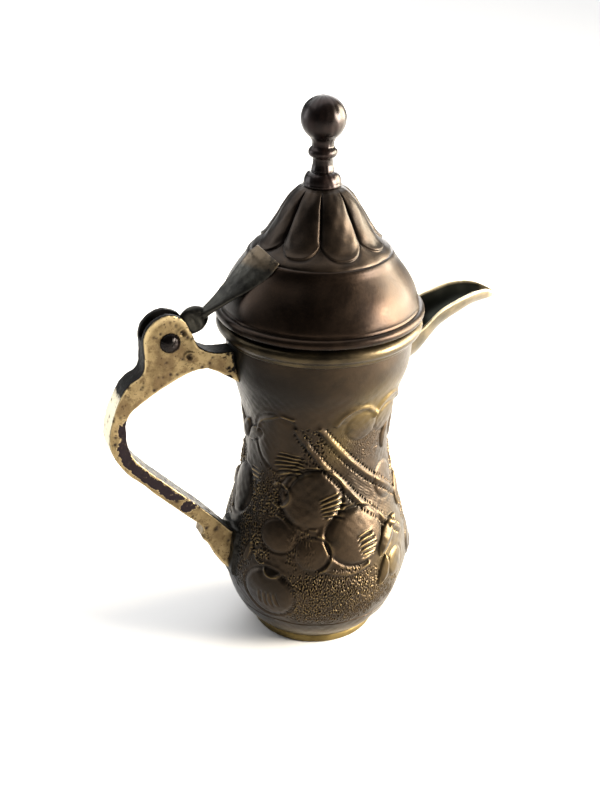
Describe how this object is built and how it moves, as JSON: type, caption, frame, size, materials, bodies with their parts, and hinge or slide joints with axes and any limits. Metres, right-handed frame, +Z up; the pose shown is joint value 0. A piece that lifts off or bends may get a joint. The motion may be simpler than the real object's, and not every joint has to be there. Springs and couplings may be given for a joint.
{
  "type": "coffee pot",
  "caption": "Waisted metal coffee pot with a hinged domed lid under a petalled cone and ball knob, an open beak spout and a cast handle.",
  "frame": {"origin": "centre of the flat base where the pot stands on the table", "axes": "+Z up, +X towards the spout, -X towards the handle, the lid's hinge axis lies along Y"},
  "size_m": [0.1474, 0.073, 0.2],
  "materials": {
    "foot_brass": "worn, yellow",
    "body_brass": "dark olive-brown patina, raised and punched relief",
    "spout_brass": "dark inside, paler along the edge",
    "cast_brass": "cast, pitted, with dark worn patches",
    "lid_brass": "dark brown patina, satin",
    "dark_bronze": "reddish dark brown, glossy",
    "inner_brass": "dull, inside of the pot",
    "dark_iron": "dark grey-green, satin"
  },
  "bodies": {
    "pot": {"body_shell": "body_brass", "base_plate": "foot_brass", "mouth_ring": "body_brass", "spout": "spout_brass", "handle": "cast_brass", "hinge_pin": "dark_bronze"},
    "lid": {"lid_dome": "lid_brass", "lid_rim": "lid_brass", "lid_collar": "inner_brass", "lid_cone": "lid_brass", "cone_cap": "dark_bronze", "finial": "dark_bronze", "finial_rove": "inner_brass", "hinge_strap": "dark_iron"}
  },
  "joints": [
    {"name": "lid_hinge", "type": "hinge", "parent": "pot", "child": "lid", "pos_m": [-0.055, 0, 0.1225], "axis": [0, -1, 0], "range_deg": [0, 100]}
  ]
}
